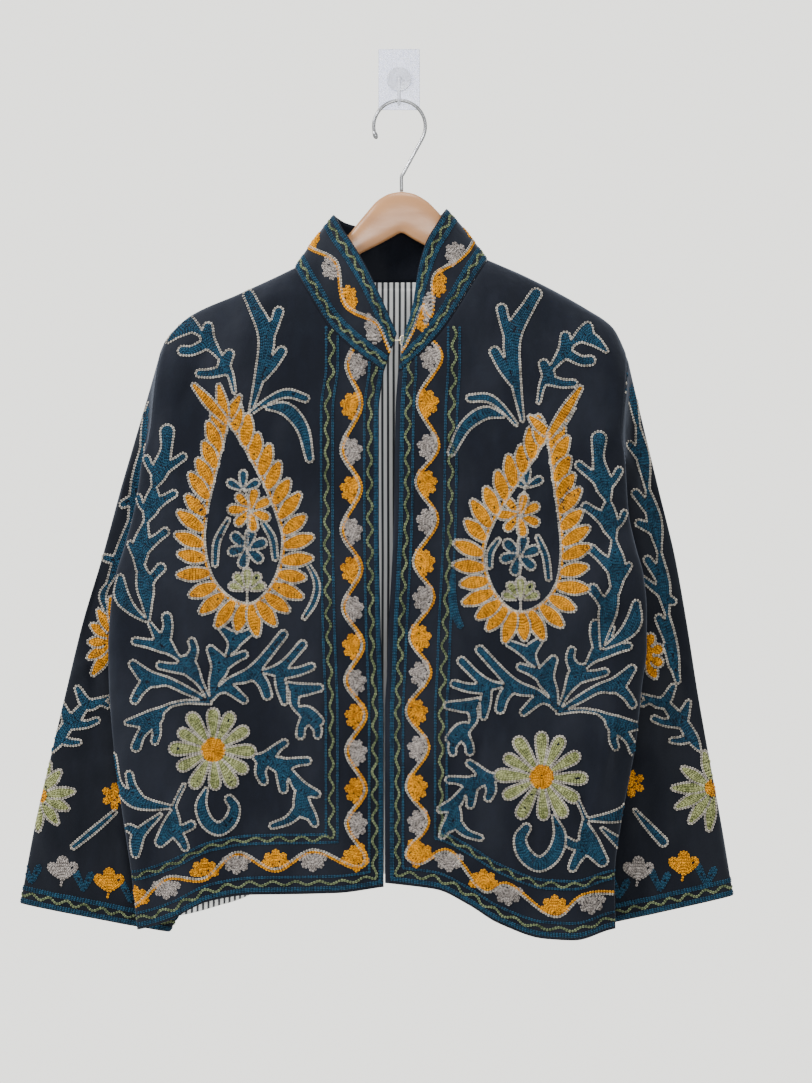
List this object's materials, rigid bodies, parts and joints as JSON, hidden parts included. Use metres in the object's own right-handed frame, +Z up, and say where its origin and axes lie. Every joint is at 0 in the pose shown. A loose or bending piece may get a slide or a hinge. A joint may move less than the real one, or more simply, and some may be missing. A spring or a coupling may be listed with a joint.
{
  "type": "velvet jacket with a stand collar on a hanger and a clear wall hook",
  "caption": "long open-front velvet jacket with a hooked stand collar and embroidery, hung on a shaped hanger from a clear plate that sticks to a wall",
  "frame": {"origin": "middle of the wall plate's back face, where it meets the wall", "axes": "+X to the viewer's right along the wall, +Y into the wall, +Z up; the jacket's front faces -Y"},
  "size_m": [0.721, 0.0672, 0.8977],
  "materials": {
    "velvet": "blue-black cotton velvet with a short nap, covered with chain stitch in teal, sage, orange and grey thread",
    "striped_lining": "plain-woven cotton with narrow black stripes on off-white",
    "fastening": "pale plated wire",
    "hanger": "smooth satin tan",
    "hanger_wire": "bright plated wire",
    "clear_hook": "clear bluish moulded plastic"
  },
  "bodies": {
    "root": {"front_right": "velvet", "front_left": "velvet", "back": "velvet", "sleeve_right": "velvet", "sleeve_left": "velvet", "collar": "velvet", "lining_back": "striped_lining", "fastening_hook": "fastening", "fastening_eye": "fastening", "hanger_body": "hanger", "hanger_wire": "hanger_wire", "wall_plate": "clear_hook", "hook_disc": "clear_hook", "hook_peg": "clear_hook"}
  },
  "joints": []
}
